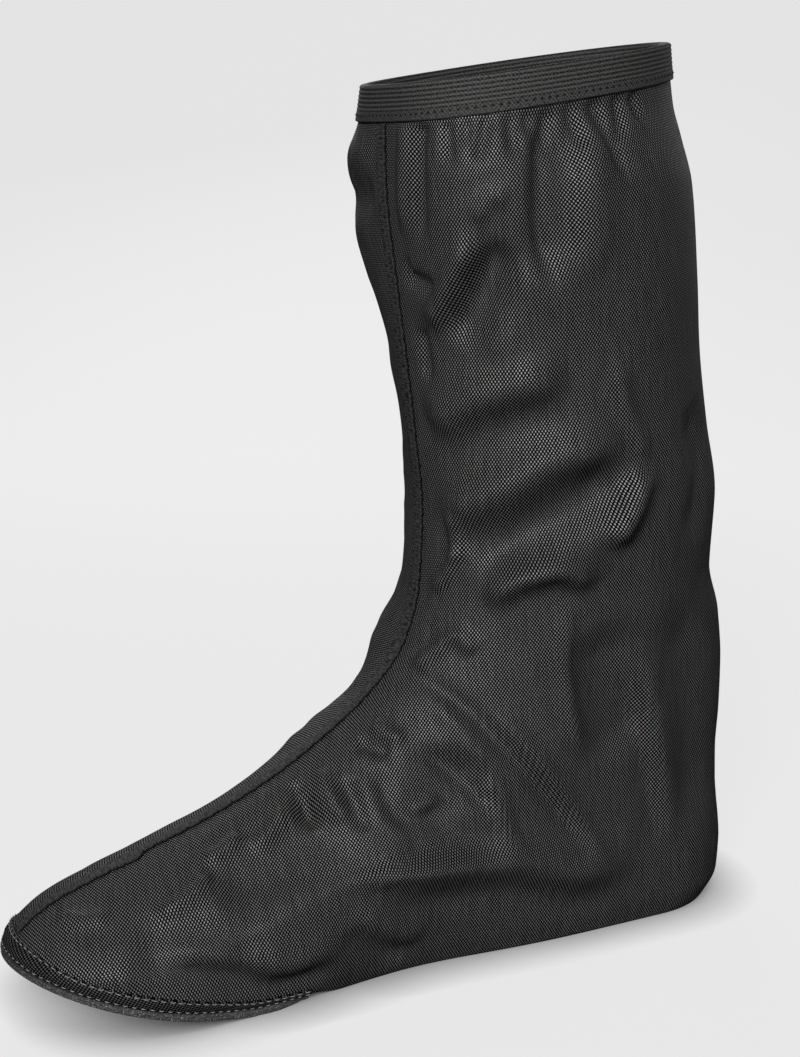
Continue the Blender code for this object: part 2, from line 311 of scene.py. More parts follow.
FOLDS = (
    ("collar", "deep gather", ((158, 352), (161, 325), (163, 298), (165, 286))),
    ("collar", "gather", ((149, 347), (148, 338), (146, 316))),
    ("collar", "gather", ((139, 347), (139, 336), (140, 323))),
    ("collar", "gather", ((130, 347), (131, 337), (136, 316))),
    ("collar", "gather", ((122, 347), (122, 333), (122, 317))),
    ("collar", "gather", ((115, 347), (115, 336), (116, 325))),
    ("collar", "deep gather", ((105, 350), (106, 337), (113, 316), (115, 290), (112, 264))),
    ("collar", "gather", ((97, 347), (97, 336), (94, 317))),
    ("collar", "deep gather", ((85, 350), (86, 338), (82, 314), (80, 302))),
    ("collar", "gather", ((75, 347), (75, 334), (79, 316))),
    ("collar", "gather", ((66, 347), (66, 334), (64, 322))),
    ("beside the seam", "ridge", ((170, 346), (170, 334), (171, 318), (172, 302), (172, 288))),
    ("shaft", "shelf", ((105, 271), (103, 290), (99, 318), (94, 334))),
    ("shaft", "slope", ((127, 249), (124, 283), (128, 328))),
    ("shin", "ridge", ((139, 296), (131, 306), (124, 304))),
    ("shin", "fold", ((135, 292), (145, 279), (161, 254))),
    ("shin", "crease", ((164, 236), (166, 251), (167, 259))),
    ("shin", "crease", ((155, 274), (165, 276), (173, 278), (175, 286))),
    ("shin", "shelf", ((147, 247), (139, 260), (132, 273), (123, 288))),
    ("calf", "overhang", ((108, 232), (121, 233), (140, 229), (166, 215))),
    ("calf", "ridge", ((77, 197), (88, 225), (90, 243))),
    ("calf", "hollow", ((52, 217), (46, 187), (58, 158))),
    ("ankle", "overhang", ((86, 203), (106, 204), (117, 202), (133, 194), (153, 187), (169, 190))),
    ("ankle", "shelf", ((149, 160), (126, 173), (105, 182), (84, 199))),
    ("ankle", "fold", ((101, 169), (92, 181), (81, 200))),
    ("ankle", "fold", ((104, 150), (112, 157), (121, 161), (130, 160), (146, 148))),
    ("ankle", "tuck", ((157, 167), (158, 179), (158, 189))),
    ("ankle", "tuck", ((153, 174), (161, 161), (170, 156))),
    ("ankle", "ridge", ((116, 151), (117, 125), (114, 95), (105, 81))),
    ("ankle", "slope", ((109, 138), (107, 114), (101, 88), (93, 72))),
    ("instep", "tuck", ((152, 131), (158, 138), (165, 134))),
    ("instep", "tuck", ((178, 128), (170, 134), (162, 138))),
    ("instep", "trough", ((182, 131), (166, 119), (156, 110), (146, 97), (134, 80), (120, 60), (104, 38))),
    ("instep", "ridge", ((179, 120), (166, 111), (157, 97), (149, 78), (143, 53), (137, 36))),
    ("instep", "ridge", ((152, 116), (145, 106), (130, 84), (113, 58), (97, 31))),
    ("instep", "slope", ((165, 100), (175, 81), (186, 64))),
    ("vamp", "crease", ((180, 95), (172, 91), (160, 78), (149, 63))),
    ("vamp", "tuck", ((192, 110), (184, 103), (179, 101))),
    ("vamp", "crease", ((201, 100), (194, 97), (187, 93))),
    ("vamp", "crease", ((194, 91), (192, 76), (182, 61))),
    ("vamp", "crease", ((199, 65), (202, 81), (204, 89))),
    ("vamp", "tuck", ((213, 95), (209, 79), (206, 70))),
    ("vamp", "crease", ((218, 70), (219, 79), (221, 86))),
    ("vamp", "crease", ((227, 92), (224, 81), (222, 72))),
    ("vamp", "tuck", ((169, 76), (175, 73), (182, 70))),
    ("vamp", "tuck", ((245, 67), (236, 74), (229, 83))),
    ("vamp", "tuck", ((263, 66), (254, 70), (247, 75))),
    ("vamp", "slope", ((212, 83), (237, 66), (265, 54))),
    ("toe", "tuck", ((284, 47), (270, 53), (260, 62))),
    ("toe", "ridge", ((318, 58), (307, 51), (296, 50))),
    ("ball", "slope", ((240, 35), (268, 37), (295, 41))),
    ("ball", "step", ((211, 17), (236, 15), (258, 22), (289, 32))),
    ("waist", "step", ((178, 12), (190, 17), (202, 25), (213, 32))),
    ("waist", "hollow", ((192, 60), (168, 54), (146, 46))),
    ("waist", "ridge", ((145, 43), (174, 48), (215, 46))),
    ("waist", "overhang", ((80, 26), (110, 29), (148, 40), (181, 42), (208, 44))),
    ("heel", "step", ((68, 33), (74, 62), (82, 98), (86, 120))),
    ("heel", "slope", ((73, 142), (62, 85), (58, 34))),
)
FOLD_SAMPLES = 40
FOLD_FADE = 0.25


def fold_path(points):
    """A smooth path through a fold's points, with even parameter steps, and the path's length."""
    points = np.array(points) / 1000
    run = np.concatenate(([0], np.cumsum(np.linalg.norm(np.diff(points, axis=0), axis=-1))))
    t = np.linspace(0, 1, FOLD_SAMPLES)
    curves = [smooth_curve(run / run[-1], points[:, n]) for n in (0, 1)]
    return np.stack([curve(t) for curve in curves], -1), run[-1]


def fold_rise(flat, folds):
    """Each fold's bell over the distance beside its path: rise plus tilt times that distance in widths."""
    total = np.zeros(flat.shape[:2])
    for row in folds:
        fold = dict(zip(FOLD_COLUMNS, row))
        kind = dict(zip(FOLD_KIND_COLUMNS, FOLD_KINDS[fold["kind"]]))
        path, length = fold_path(fold["path"])
        nearest = np.linalg.norm(flat[:, :, None] - path, axis=-1).argmin(-1)
        off = flat - path[nearest]
        along = unit(np.gradient(path, axis=0))[nearest]
        beside = (along[..., 0] * off[..., 1] - along[..., 1] * off[..., 0]) / (kind["width"] / 1000)
        t = nearest / (FOLD_SAMPLES - 1) + (along * off).sum(-1) / length
        bell = ease(np.minimum(t, 1 - t) / FOLD_FADE) * np.exp(-beside * beside)
        total += bell * (kind["rise"] + kind["tilt"] * beside) / 1000
    return total


# Where the cloth lies close: under the tape, along the felled seam, and round the toe under the rand
SEAM_LEFT = 0.0010
SEAM_RIGHT = 0.0070
SEAM_CLEAR = 0.010
TAPE_CLEAR = 0.003
FAR_TAPE_CLEAR = 0.022
HEM_CLEAR = 0.008
BULGE_COLUMNS = ("side", "x", "height", "reach_x", "reach_z", "depth")
BULGES = (
    (1, 0.017, 0.114, 0.034, 0.017, 0.0070),
    (1, -0.019, 0.079, 0.034, 0.017, 0.0055),
)
BULGE_BLEND = 0.024
FAR_SHIFT = (0.006, -0.011)
FAR_SHARE = 0.6
FAR_CALM = 0.080
FAR_FOLDS = (
    ("collar", "puff", ((178, 326), (162, 326), (140, 327))),
    ("collar", "hollow", ((177, 307), (158, 305), (134, 302))),
)
HEM_INSETS = (0.0100, 0.0065, 0.0030, 0.0010, 0.0002)
HEM_EDGE_RISE = 0.0006


def bulge_rise(grid):
    """The full places of the cloth over the instep: bells along and up the side, faded at the seam."""
    x, y, z = np.moveaxis(grid, -1, 0)
    rise = np.zeros_like(x)
    for row in BULGES:
        bulge = dict(zip(BULGE_COLUMNS, row))
        clear_of_seam = ease((bulge["side"] * y - SEAM_RIGHT) / BULGE_BLEND)
        along = (x - bulge["x"]) / bulge["reach_x"]
        upward = (z - bulge["height"]) / bulge["reach_z"]
        rise += bulge["depth"] * clear_of_seam * np.exp(-(along**2) - upward**2)
    return rise


def slack(grid):
    """How freely the cloth can fold: 0 along seam, tape and hem, 1 well away from them."""
    x, y, z = np.moveaxis(grid, -1, 0)
    front = section["front"](z) + section["nose"](z) > x
    off_seam = np.where(y > 0, y - SEAM_RIGHT, -y - SEAM_LEFT)
    free = np.where(front, ease(off_seam / SEAM_CLEAR), 1)
    free = free * ease((rim_height(x) - TAPE_HEIGHT - z) / np.where(y > 0, FAR_TAPE_CLEAR, TAPE_CLEAR))
    return free * ease((z - hem_height(x)) / HEM_CLEAR)


def shell_grid(side, flat):
    """The ring of columns pushed out by folds and bulges, with the margin turned under."""
    grid = both_sides(side)
    calm = ease((flat[:, :1, 0] - flat[..., 0]) / FAR_CALM)
    far_rise = FAR_SHARE * calm * fold_rise(flat + FAR_SHIFT, FOLDS) + fold_rise(flat, FAR_FOLDS)
    rise = whole_ring(fold_rise(flat, FOLDS), far_rise)
    grid = grid + outward(grid, True) * (slack(grid) * rise + bulge_rise(grid))[..., None]
    level = unit(outward(grid, True)[0] * (1, 1, 0))
    margin = grid[0] - np.array(HEM_INSETS)[:, None, None] * level
    margin[..., 2] = hem_height(margin[..., 0])
    grid[0, :, 2] += HEM_EDGE_RISE
    return np.concatenate((margin, grid))


def skin(name, grids, around=False, along=False, caps=False, patterns=None):
    """A mesh object from grids of points (pieces, rows, places): quads between neighbours.

    Around joins the last place to the first, along the last row to the first, and caps closes both end
    rows. Patterns are cloth coordinates for each point, kept as the UV map that the weave reads.
    """
    pieces, rows, places = grids.shape[:3]
    index = np.arange(pieces * rows * places).reshape(pieces, rows, places)
    ring = np.concatenate((index, index[:, :, :1]), axis=2) if around else index
    ring = np.concatenate((ring, ring[:, :1]), axis=1) if along else ring
    quads = np.stack((ring[:, :-1, :-1], ring[:, :-1, 1:], ring[:, 1:, 1:], ring[:, 1:, :-1]), -1)
    faces = quads.reshape(-1, 4).tolist()
    if caps:
        faces += index[:, 0, ::-1].tolist() + index[:, -1].tolist()
    mesh = bpy.data.meshes.new(name)
    mesh.from_pydata(grids.reshape(-1, 3).tolist(), [], faces)
    mesh.shade_smooth()
    if patterns is not None:
        corners = np.zeros(len(mesh.loops), np.int32)
        mesh.loops.foreach_get("vertex_index", corners)
        layer = mesh.uv_layers.new(name="cloth")
        layer.data.foreach_set("uv", patterns.reshape(-1, 2)[corners].astype(np.float32).ravel())
    piece = bpy.data.objects.new(name, mesh)
    bpy.context.scene.collection.objects.link(piece)
    return piece


class Shade:
    """One socket of a material's nodes: arithmetic on values adds Math nodes, node() adds any other."""

    def __init__(self, tree, socket=None):
        self.tree = tree
        self.socket = socket

    def node(self, kind, settings, sockets, output=0):
        """A node of a kind, with its settings made first and then its sockets' values or links."""
        made = self.tree.nodes.new("ShaderNode" + kind)
        for name, value in settings.items():
            setattr(made, name, value)
        for key, value in sockets.items():
            if isinstance(value, Shade):
                self.tree.links.new(value.socket, made.inputs[key])
            else:
                made.inputs[key].default_value = value
        return Shade(self.tree, made.outputs[output])

    def math(self, operation, first, second=0.0):
        return self.node("Math", {"operation": operation}, {0: first, 1: second})

    def __add__(self, other):
        return self.math("ADD", self, other)

    __radd__ = __add__

    def __sub__(self, other):
        return self.math("SUBTRACT", self, other)

    def __rsub__(self, other):
        return self.math("SUBTRACT", other, self)

    def __mul__(self, other):
        return self.math("MULTIPLY", self, other)

    __rmul__ = __mul__

    def sine(self):
        return self.math("SINE", self)

    def between(self, low, high):
        """0 below low, 1 above high, with a soft step from one to the other."""
        limits = {"Value": self, "From Min": low, "From Max": high}
        return self.node("MapRange", {"interpolation_type": "SMOOTHSTEP"}, limits)

    def mix(self, first, second):
        """The first colour where this value is 0, the second where it is 1."""
        return self.node("Mix", {"data_type": "RGBA"}, {0: self, 6: first, 7: second}, output=2)

    def noise(self, vector, scale, detail=2.0):
        """Noise from 0 to 1 over a vector, with its lumps 1 / scale apart."""
        return self.node("TexNoise", {}, {"Vector": vector, "Scale": scale, "Detail": detail})

    def stretched(self, vector, factors):
        """A vector with each part multiplied by its own factor."""
        return self.node("VectorMath", {"operation": "MULTIPLY"}, {0: vector, 1: factors})

    def parts(self):
        """The X, Y and Z of a vector as values."""
        split = self.node("SeparateXYZ", {}, {"Vector": self})
        return [Shade(self.tree, output) for output in split.socket.node.outputs]


def grey(value, warmth=0.0):
    """A linear grey with a little more red than blue where warmth is above 0."""
    return (value * (1 + warmth), value, value * (1 - warmth), 1.0)


def new_finish(name):
    """An empty material: the start of its shading, and its shader's sockets."""
    material = bpy.data.materials.new(name)
    material.use_nodes = True
    tree = material.node_tree
    return material, Shade(tree), tree.nodes["Principled BSDF"].inputs


def set_finish(shade, sockets, values):
    """Links or values for a shader's sockets."""
    for name, value in values.items():
        if isinstance(value, Shade):
            shade.tree.links.new(value.socket, sockets[name])
        else:
            sockets[name].default_value = value


# The warp crowns' pale greys are painted glints, black yarns drawn bright as if catching the light, over
# near-black weft crowns and gaps.
YARN_ACROSS = 0.00060
YARN_UP = 0.00086
YARN_RISE = 0.00002
YARN_GAP = grey(0.0003)
WARP_PAINTED_GLINT = grey(0.24, 0.01)
WARP_DULL_PAINTED_GLINT = grey(0.15, 0.01)
WEFT_TOP = grey(0.003)
SATIN = 0.5


def woven_cloth(name, turn, painted_glint, dull_painted_glint):
    """Plain weave: a product of two sines, a warp's crown where positive, a weft's where negative. Warp
    crowns get a painted glint.
    """
    material, shade, sockets = new_finish(name)
    cloth = shade.node("UVMap", {"uv_map": "cloth"}, {})
    turned = shade.node("Mapping", {}, {"Vector": cloth, "Rotation": (0, 0, turn)})
    across, up, _ = turned.parts()
    crowns = (across * (np.pi / YARN_ACROSS)).sine() * (up * (np.pi / YARN_UP)).sine()
    warp, weft = crowns.between(-0.05, 0.75), (0 - crowns).between(0.3, 1.0)
    warp_yarn = shade.noise(shade.stretched(turned, (1600.0, 60.0, 0.0)), 1.0)
    warp_painted_glint = warp_yarn.between(0.25, 0.75).mix(dull_painted_glint, painted_glint)
    colour = warp.mix(weft.mix(YARN_GAP, WEFT_TOP), warp_painted_glint)
    bump = shade.node("Bump", {}, {"Strength": 1.0, "Distance": YARN_RISE, "Height": crowns})
    set_finish(shade, sockets, {
        "Base Color": colour,
        "Metallic": SATIN * warp,
        "Roughness": 0.75 - 0.15 * warp,
        "Normal": bump,
        "Specular IOR Level": 0.02,
    })
    return material


grid = shell_grid(side, flat)
pattern = whole_ring(flat, flat)
margin_pattern = pattern[0] - np.array(HEM_INSETS)[:, None, None] * (0, 1)
pattern = np.concatenate((margin_pattern, pattern))
shell = skin("cloth_shell", grid[None], around=True, patterns=pattern)
shell.data.materials.append(woven_cloth("black_plain_weave", 0.0, WARP_PAINTED_GLINT, WARP_DULL_PAINTED_GLINT))
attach(shell, "root")
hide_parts("upper_shell")

# The lining: the coated inner face of the same cloth, smooth, slightly rubbery and dark grey. It follows
# every fold of the outer face at the thickness of the cloth.
CLOTH_THICKNESS = 0.0009

lining_grid = grid - CLOTH_THICKNESS * outward(grid, True)
lining = skin("coated_lining", lining_grid[None, ::-1], around=True)
material, shade, sockets = new_finish("coating")
where = shade.node("TexCoord", {}, {}, output=3)
mottle = shade.noise(where, 90.0, 4.0)
pores = shade.noise(where, 900.0)
set_finish(shade, sockets, {
    "Base Color": mottle.between(0.3, 0.7).mix(grey(0.010), grey(0.016)),
    "Roughness": 0.45 + 0.2 * mottle,
    "Normal": shade.node("Bump", {}, {"Strength": 0.3, "Distance": 0.0002, "Height": pores}),
})
lining.data.materials.append(material)
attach(lining, "root")

# The front seam: the right panel's edge is rolled over the left one's and felled flat, a strip about
# 8 mm wide from the toe to the collar. Its rolled left edge wanders a little where the cloth pulls.
SEAM_START = 0.022
SEAM_END = 0.999
SEAM_ROWS = 420
SEAM_PROFILE_COLUMNS = ("y", "rise")
SEAM_PROFILE = (
    (0.0074, -0.0004),
    (0.0070, 0.0003),
    (0.0063, 0.0006),
    (0.0050, 0.0007),
    (0.0034, 0.0007),
    (0.0020, 0.0006),
    (0.0012, 0.0007),
    (0.0003, 0.0010),
    (-0.0004, 0.0009),
    (-0.0009, 0.0002),
    (-0.0010, -0.0004),
)
SEAM_WANDER_COLUMNS = ("share", "y")
SEAM_WANDER = (
    (0.00, 0.0000),
    (0.05, 0.0006),
    (0.09, -0.0004),
    (0.125, -0.0008),
    (0.145, -0.0022),
    (0.165, 0.0006),
    (0.20, 0.0002),
    (0.30, -0.0005),
    (0.40, 0.0006),
    (0.48, -0.0004),
    (0.60, 0.0004),
    (0.75, -0.0004),
    (0.88, 0.0005),
    (1.00, 0.0000),
)
SEAM_DARK = grey(0.008)
SEAM_LIGHT = grey(0.060)
SEAM_ROLL = 0.0040
# Across the strip, the groove beside the rolled edge is painted shade between these two distances.
SEAM_PAINTED_SHADE = (-0.0009, -0.0002)
SEAM_MIDDLE = 4
SEAM_RIPPLE = 0.00022
SEAM_RIPPLES = (61.0, 143.0)
seam_wander = table_curves(SEAM_WANDER_COLUMNS, SEAM_WANDER)["y"]
seam_rows = np.linspace(SEAM_START, SEAM_END, SEAM_ROWS + 1)[:, None]


def seam_line(y, rise, level):
    """Points of the last beside its front middle line, at a distance y and a rise off the surface."""
    power = section["blunt"](level)
    off_middle = (np.abs(y) / section["ball"](level)) ** power
    x = section["front"](level) + section["nose"](level) * (1 - (1 - off_middle) ** (1 / power))
    points = np.stack(np.broadcast_arrays(x, y, level), -1)
    return points + rise[..., None] * outward(points, False)


seam_level = panel_side(np.zeros(1), seam_rows[:, 0])[..., 2]
seam_profile = dict(zip(SEAM_PROFILE_COLUMNS, np.array(SEAM_PROFILE).T))
seam_y, seam_rise = seam_profile["y"], seam_profile["rise"]
rolled = ease((SEAM_ROLL - seam_y) / SEAM_ROLL)
ripple = sum(np.sin(2 * np.pi * count * seam_rows + count) for count in SEAM_RIPPLES)
seam_shift = seam_wander(seam_rows) + SEAM_RIPPLE * ripple
seam_grid = seam_line(seam_y + rolled * seam_shift, seam_rise + 0 * seam_shift, seam_level)
seam_middle = seam_grid[:, SEAM_MIDDLE]
seam_run = np.linalg.norm(np.diff(seam_middle, axis=0, prepend=seam_middle[:1]), axis=-1).cumsum()
seam_pattern = np.stack(np.broadcast_arrays(seam_run[:, None], seam_y), -1)
seam = skin("felled_seam", seam_grid[None], around=True, caps=True, patterns=seam_pattern)
material, shade, sockets = new_finish("felled_weave")
strip = shade.node("UVMap", {"uv_map": "cloth"}, {})
_, off_edge, _ = strip.parts()
ribs = shade.noise(shade.stretched(strip, (1700.0, 260.0, 0.0)), 1.0)
# Painted shade: a thin near-black line drawn where the groove lies along the rolled edge.
painted_groove_shade = off_edge.between(*SEAM_PAINTED_SHADE)
felled = ribs.between(0.3, 0.7).mix(SEAM_DARK, SEAM_LIGHT)
set_finish(shade, sockets, {
    "Base Color": painted_groove_shade.mix(grey(0.0008), felled),
    "Roughness": 0.65 + 0.1 * ribs,
    "Normal": shade.node("Bump", {}, {"Strength": 0.5, "Distance": 0.0001, "Height": ribs}),
    "Specular IOR Level": 0.05,
})
seam.data.materials.append(material)
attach(seam, "root")
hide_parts("front_seam")

# The toe sole: a thin sheet of grainy, non-slip stuff under toe and ball, cut a little proud of the
# shell's edge and straight behind the ball, and sewn on through the rand. Its cut edge crumbles.
SOLE_OVERHANG = 0.0014
SOLE_FLUSH_LENGTH = 0.014
SOLE_STRIPS = 200
SOLE_TIP = 0.004
SOLE_LANES = 24
SOLE_EDGE_LANES = 4
SOLE_CRUMBLE = 0.00022
CRUMBLE_SEED = 4
EDGE_SAMPLES = 400
edge_shares = np.linspace(0, 1, EDGE_SAMPLES)
edge_x, edge_y = outline_point(edge_shares, edge_level(edge_shares, hem_height))
run_x, run_y = np.gradient(edge_x), np.gradient(edge_y)
run = np.hypot(run_x, run_y)
overhang = SOLE_OVERHANG * (1 - 2 * ease((edge_x - SOLE_END_X) / SOLE_FLUSH_LENGTH + 1))
proud_x, proud_y = edge_x - overhang * run_y / run, edge_y + overhang * run_x / run
reach = proud_x[0] + (SOLE_END_X - proud_x[0]) * np.linspace(SOLE_TIP, 1, SOLE_STRIPS + 1) ** 2
half = np.interp(reach, proud_x, proud_y)
lanes = np.linspace(-1, 1, SOLE_LANES + 1)
edge_up = np.linspace(0, 1, SOLE_EDGE_LANES + 2)[1:-1]
across = np.concatenate((lanes, np.ones(SOLE_EDGE_LANES), lanes[::-1], -np.ones(SOLE_EDGE_LANES)))
height = SOLE_THICKNESS * np.concatenate((0 * lanes, edge_up, 0 * lanes + 1, edge_up[::-1]))
crumble = SOLE_CRUMBLE * np.random.default_rng(CRUMBLE_SEED).uniform(-1, 1, (SOLE_STRIPS + 1, len(across)))
width = half[:, None] * across + crumble * (np.abs(across) == 1)
sole_grid = np.stack(np.broadcast_arrays(reach[:, None], width, lift(reach)[:, None] + height), -1)
sole = skin("grip_sole_sheet", sole_grid[None], around=True, caps=True)
material, shade, sockets = new_finish("grip_grain")
where = shade.node("TexCoord", {}, {}, output=3)
grain = shade.noise(where, 1500.0, 3.0)
glitter = shade.noise(where, 2600.0, 1.0).between(0.60, 0.72)
set_finish(shade, sockets, {
    "Base Color": glitter.mix(grain.between(0.3, 0.7).mix(grey(0.012), grey(0.05)), grey(0.30)),
    "Roughness": 0.85 - 0.4 * glitter,
    "Normal": shade.node("Bump", {}, {"Strength": 1.0, "Distance": 0.0004, "Height": grain}),
})
sole.data.materials.append(material)
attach(sole, "root")
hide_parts("toe_sole")

# The rand: the shell's doubled margin round the toe, cut on another grain, lying flat on the shell just
# above the sole and sewn down along both its edges.
RAND_CLEARANCE = 0.0008
RAND_HEIGHT = 0.0055
RAND_END_HEIGHT = 0.0015
RAND_RISE = 0.0009
RAND_GRAIN = 1.2
# The rand's warp crowns carry the same painted glint as the shell, a little dimmer.
RAND_PAINTED_GLINT = grey(0.14, 0.01)
RAND_DULL_PAINTED_GLINT = grey(0.08, 0.01)
RAND_PLACES = 240
RAND_MIDDLE = 3
RAND_PROFILE_COLUMNS = ("up", "rise")
RAND_PROFILE = (
    (0.00, -0.3),
    (0.02, 0.7),
    (0.12, 1.0),
    (0.50, 1.1),
    (0.88, 0.9),
    (0.98, 0.5),
    (1.00, -0.3),
)
rand_end = np.interp(SOLE_END_X, edge_x, edge_shares)


def rand_surface(signed, up, rise):
    """Points round the toe: up is a share of the rand's height, rise a distance off the shell."""
    share = np.abs(signed)
    taper = ease(2 - 2 * share / rand_end)
    low = edge_level(share, hem_height) + RAND_CLEARANCE
    level = low + (RAND_END_HEIGHT + (RAND_HEIGHT - RAND_END_HEIGHT) * taper) * up[:, None]
    x, y = outline_point(share, level)
    points = np.stack((x, -np.sign(signed) * y, level), -1)
    return points + outward(points, False) * rise[:, None, None]


signed = np.linspace(-rand_end, rand_end, RAND_PLACES + 1)
rand_profile = dict(zip(RAND_PROFILE_COLUMNS, np.array(RAND_PROFILE).T))
rand_up, rand_rise = rand_profile["up"], rand_profile["rise"]
rand_grid = rand_surface(signed, rand_up, RAND_RISE * rand_rise).swapaxes(0, 1)
rand_run = np.cumsum(np.linalg.norm(np.diff(rand_grid[:, RAND_MIDDLE], axis=0), axis=-1))
rand_run = np.concatenate(([0], rand_run))[:, None]
rand_pattern = np.stack(np.broadcast_arrays(rand_run, RAND_HEIGHT * rand_up), -1)
rand = skin("toe_rand_strip", rand_grid[None, ::-1], around=True, caps=True, patterns=rand_pattern[::-1])
rand.data.materials.append(woven_cloth("black_weave_on_the_bias", RAND_GRAIN, RAND_PAINTED_GLINT, RAND_DULL_PAINTED_GLINT))
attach(rand, "root")
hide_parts("toe_rand")

# Thread: two rows of light grey topstitching hold rand, shell and sole together, and a tight row of
# black stitches runs along the rolled edge of the front seam.
STITCH_STATIONS = 7
STITCH_SIDES = 6
THREAD_END = 0.04


def stitches(name, path, off, pitch, fill, radius, arch):
    """Short threads along a path: each a tube whose middle stands off the surface and whose ends dip in."""
    run = np.concatenate(([0], np.cumsum(np.linalg.norm(np.diff(path, axis=0), axis=-1))))
    count = int(run[-1] / pitch)
    t = np.linspace(0, 1, STITCH_STATIONS)
    at = (np.arange(count)[:, None] + fill * t + (1 - fill) / 2) * (run[-1] / count)
    centre = np.stack([np.interp(at, run, path[:, n]) for n in range(3)], -1)
    normal = unit(np.stack([np.interp(at, run, off[:, n]) for n in range(3)], -1))
    along = unit(np.gradient(centre, axis=1))
    beside = unit(np.cross(along, normal))
    centre = centre + (arch * np.sin(np.pi * t) - radius)[:, None] * normal
    angle = 2 * np.pi * np.arange(STITCH_SIDES) / STITCH_SIDES
    thick = radius * np.sqrt(np.sin(np.pi * (THREAD_END + (1 - 2 * THREAD_END) * t)))[:, None, None]
    ring = np.cos(angle)[:, None] * normal[:, :, None] + np.sin(angle)[:, None] * beside[:, :, None]
    return skin(name, centre[:, :, None] + thick * ring, around=True, caps=True)


def thread(name, tone):
    """Twisted thread: fine noise between two greys."""
    material, shade, sockets = new_finish(name)
    where = shade.node("TexCoord", {}, {}, output=3)
    twist = shade.noise(where, 3000.0)
    set_finish(shade, sockets, {
        "Base Color": twist.between(0.3, 0.7).mix(grey(0.5 * tone), grey(tone)),
        "Roughness": 0.6 + 0.1 * twist,
        "Specular IOR Level": 0.3,
    })
    return material


TOPSTITCH_PITCH = 0.0032
TOPSTITCH_FILL = 0.66
TOPSTITCH_RADIUS = 0.00018
TOPSTITCH_ARCH = 0.00030
TOPSTITCH_BESIDE = 0.05
TOPSTITCH_ROWS = {"upper_topstitch": 0.90, "lower_topstitch": 0.12}
topstitch_thread = thread("grey_thread", 0.30)
for name, up in TOPSTITCH_ROWS.items():
    beside = up + np.array((-TOPSTITCH_BESIDE, 0, TOPSTITCH_BESIDE))
    rows = rand_surface(signed, beside, RAND_RISE * np.ones(3))
    off = outward(rows, False)[1]
    row = stitches(name, rows[1], off, TOPSTITCH_PITCH, TOPSTITCH_FILL, TOPSTITCH_RADIUS, TOPSTITCH_ARCH)
    row.data.materials.append(topstitch_thread)
    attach(row, "root")

SEAM_STITCH_PITCH = 0.0024
SEAM_STITCH_FILL = 0.6
SEAM_STITCH_RADIUS = 0.00022
SEAM_STITCH_ARCH = 0.00030
SEAM_STITCH_Y = 0.0016
SEAM_STITCH_RISE = 0.0006
SEAM_STITCH_BESIDE = 0.0004
seam_stitch_y = SEAM_STITCH_Y + seam_shift + np.array((SEAM_STITCH_BESIDE, 0, -SEAM_STITCH_BESIDE))
stitch_lines = seam_line(seam_stitch_y, SEAM_STITCH_RISE + 0 * seam_stitch_y, seam_level)
stitch_off = outward(stitch_lines, False)[:, 1]
seam_row = stitches("seam_stitches", stitch_lines[:, 1], stitch_off,
                    SEAM_STITCH_PITCH, SEAM_STITCH_FILL, SEAM_STITCH_RADIUS, SEAM_STITCH_ARCH)
seam_row.data.materials.append(thread("black_thread", 0.014))
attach(seam_row, "root")

# The collar: a tape of ribbed woven elastic, folded over the shell's upper edge and sewn through near
# its lower edge. It draws the cloth below it into gathers.
TAPE_THICKNESS = 0.0010
TAPE_GAP = 0.0002
TAPE_LANES = 48
TAPE_RIBS = 8
TAPE_RIB_RISE = 0.00011
TAPE_PICK = 0.0007
TAPE_EDGE = 0.0006
TAPE_FOLD = 0.0012
TAPE_FOLD_STEPS = 9
TAPE_SELVEDGE = 0.0090
WALL = 0.0012


def tape_leg(drop):
    """Rise of the tape's face off the cloth: ribs above a flat selvedge, with a rounded edge."""
    ribbed = ease((TAPE_SELVEDGE - drop) / TAPE_EDGE)
    rib = TAPE_RIB_RISE * ribbed * (np.cos(2 * np.pi * TAPE_RIBS * drop / TAPE_HEIGHT) - 1)
    edge = round_end((TAPE_HEIGHT - drop) / TAPE_EDGE, 2)
    return TAPE_GAP + (TAPE_THICKNESS + rib) * edge


leg_drop = TAPE_HEIGHT * np.linspace(1, 0, TAPE_LANES + 1)
fold_turn = np.linspace(0, np.pi, TAPE_FOLD_STEPS)[1:-1]
fold_half = tape_leg(0.0) + WALL / 2
tape_drop = np.concatenate((leg_drop, -TAPE_FOLD * np.sin(fold_turn), leg_drop[::-1]))
tape_rise = np.concatenate((
    tape_leg(leg_drop),
    fold_half * np.cos(fold_turn) - WALL / 2,
    -WALL - tape_leg(leg_drop[::-1]),
))
rim_rings = both_sides(rim_side(shares, np.array((TAPE_HEIGHT, 0.0))))
tape_share = (1 - tape_drop / TAPE_HEIGHT)[:, None, None]
tape_wall = rim_rings[0] * (1 - tape_share) + rim_rings[1] * tape_share
tape_normal = unit(outward(rim_rings, True).mean(0))
tape_grid = tape_wall + tape_rise[:, None, None] * tape_normal
rim_run = np.linalg.norm(np.diff(rim_rings[0], axis=0, append=rim_rings[0, :1]), axis=-1).cumsum()
tape_pattern = np.stack(np.broadcast_arrays(rim_run, tape_drop[:, None]), -1)
tape = skin("elastic_tape", tape_grid[None], around=True, along=True, patterns=tape_pattern)
material, shade, sockets = new_finish("ribbed_elastic")
weave = shade.node("UVMap", {"uv_map": "cloth"}, {})
round_rim, drop, _ = weave.parts()
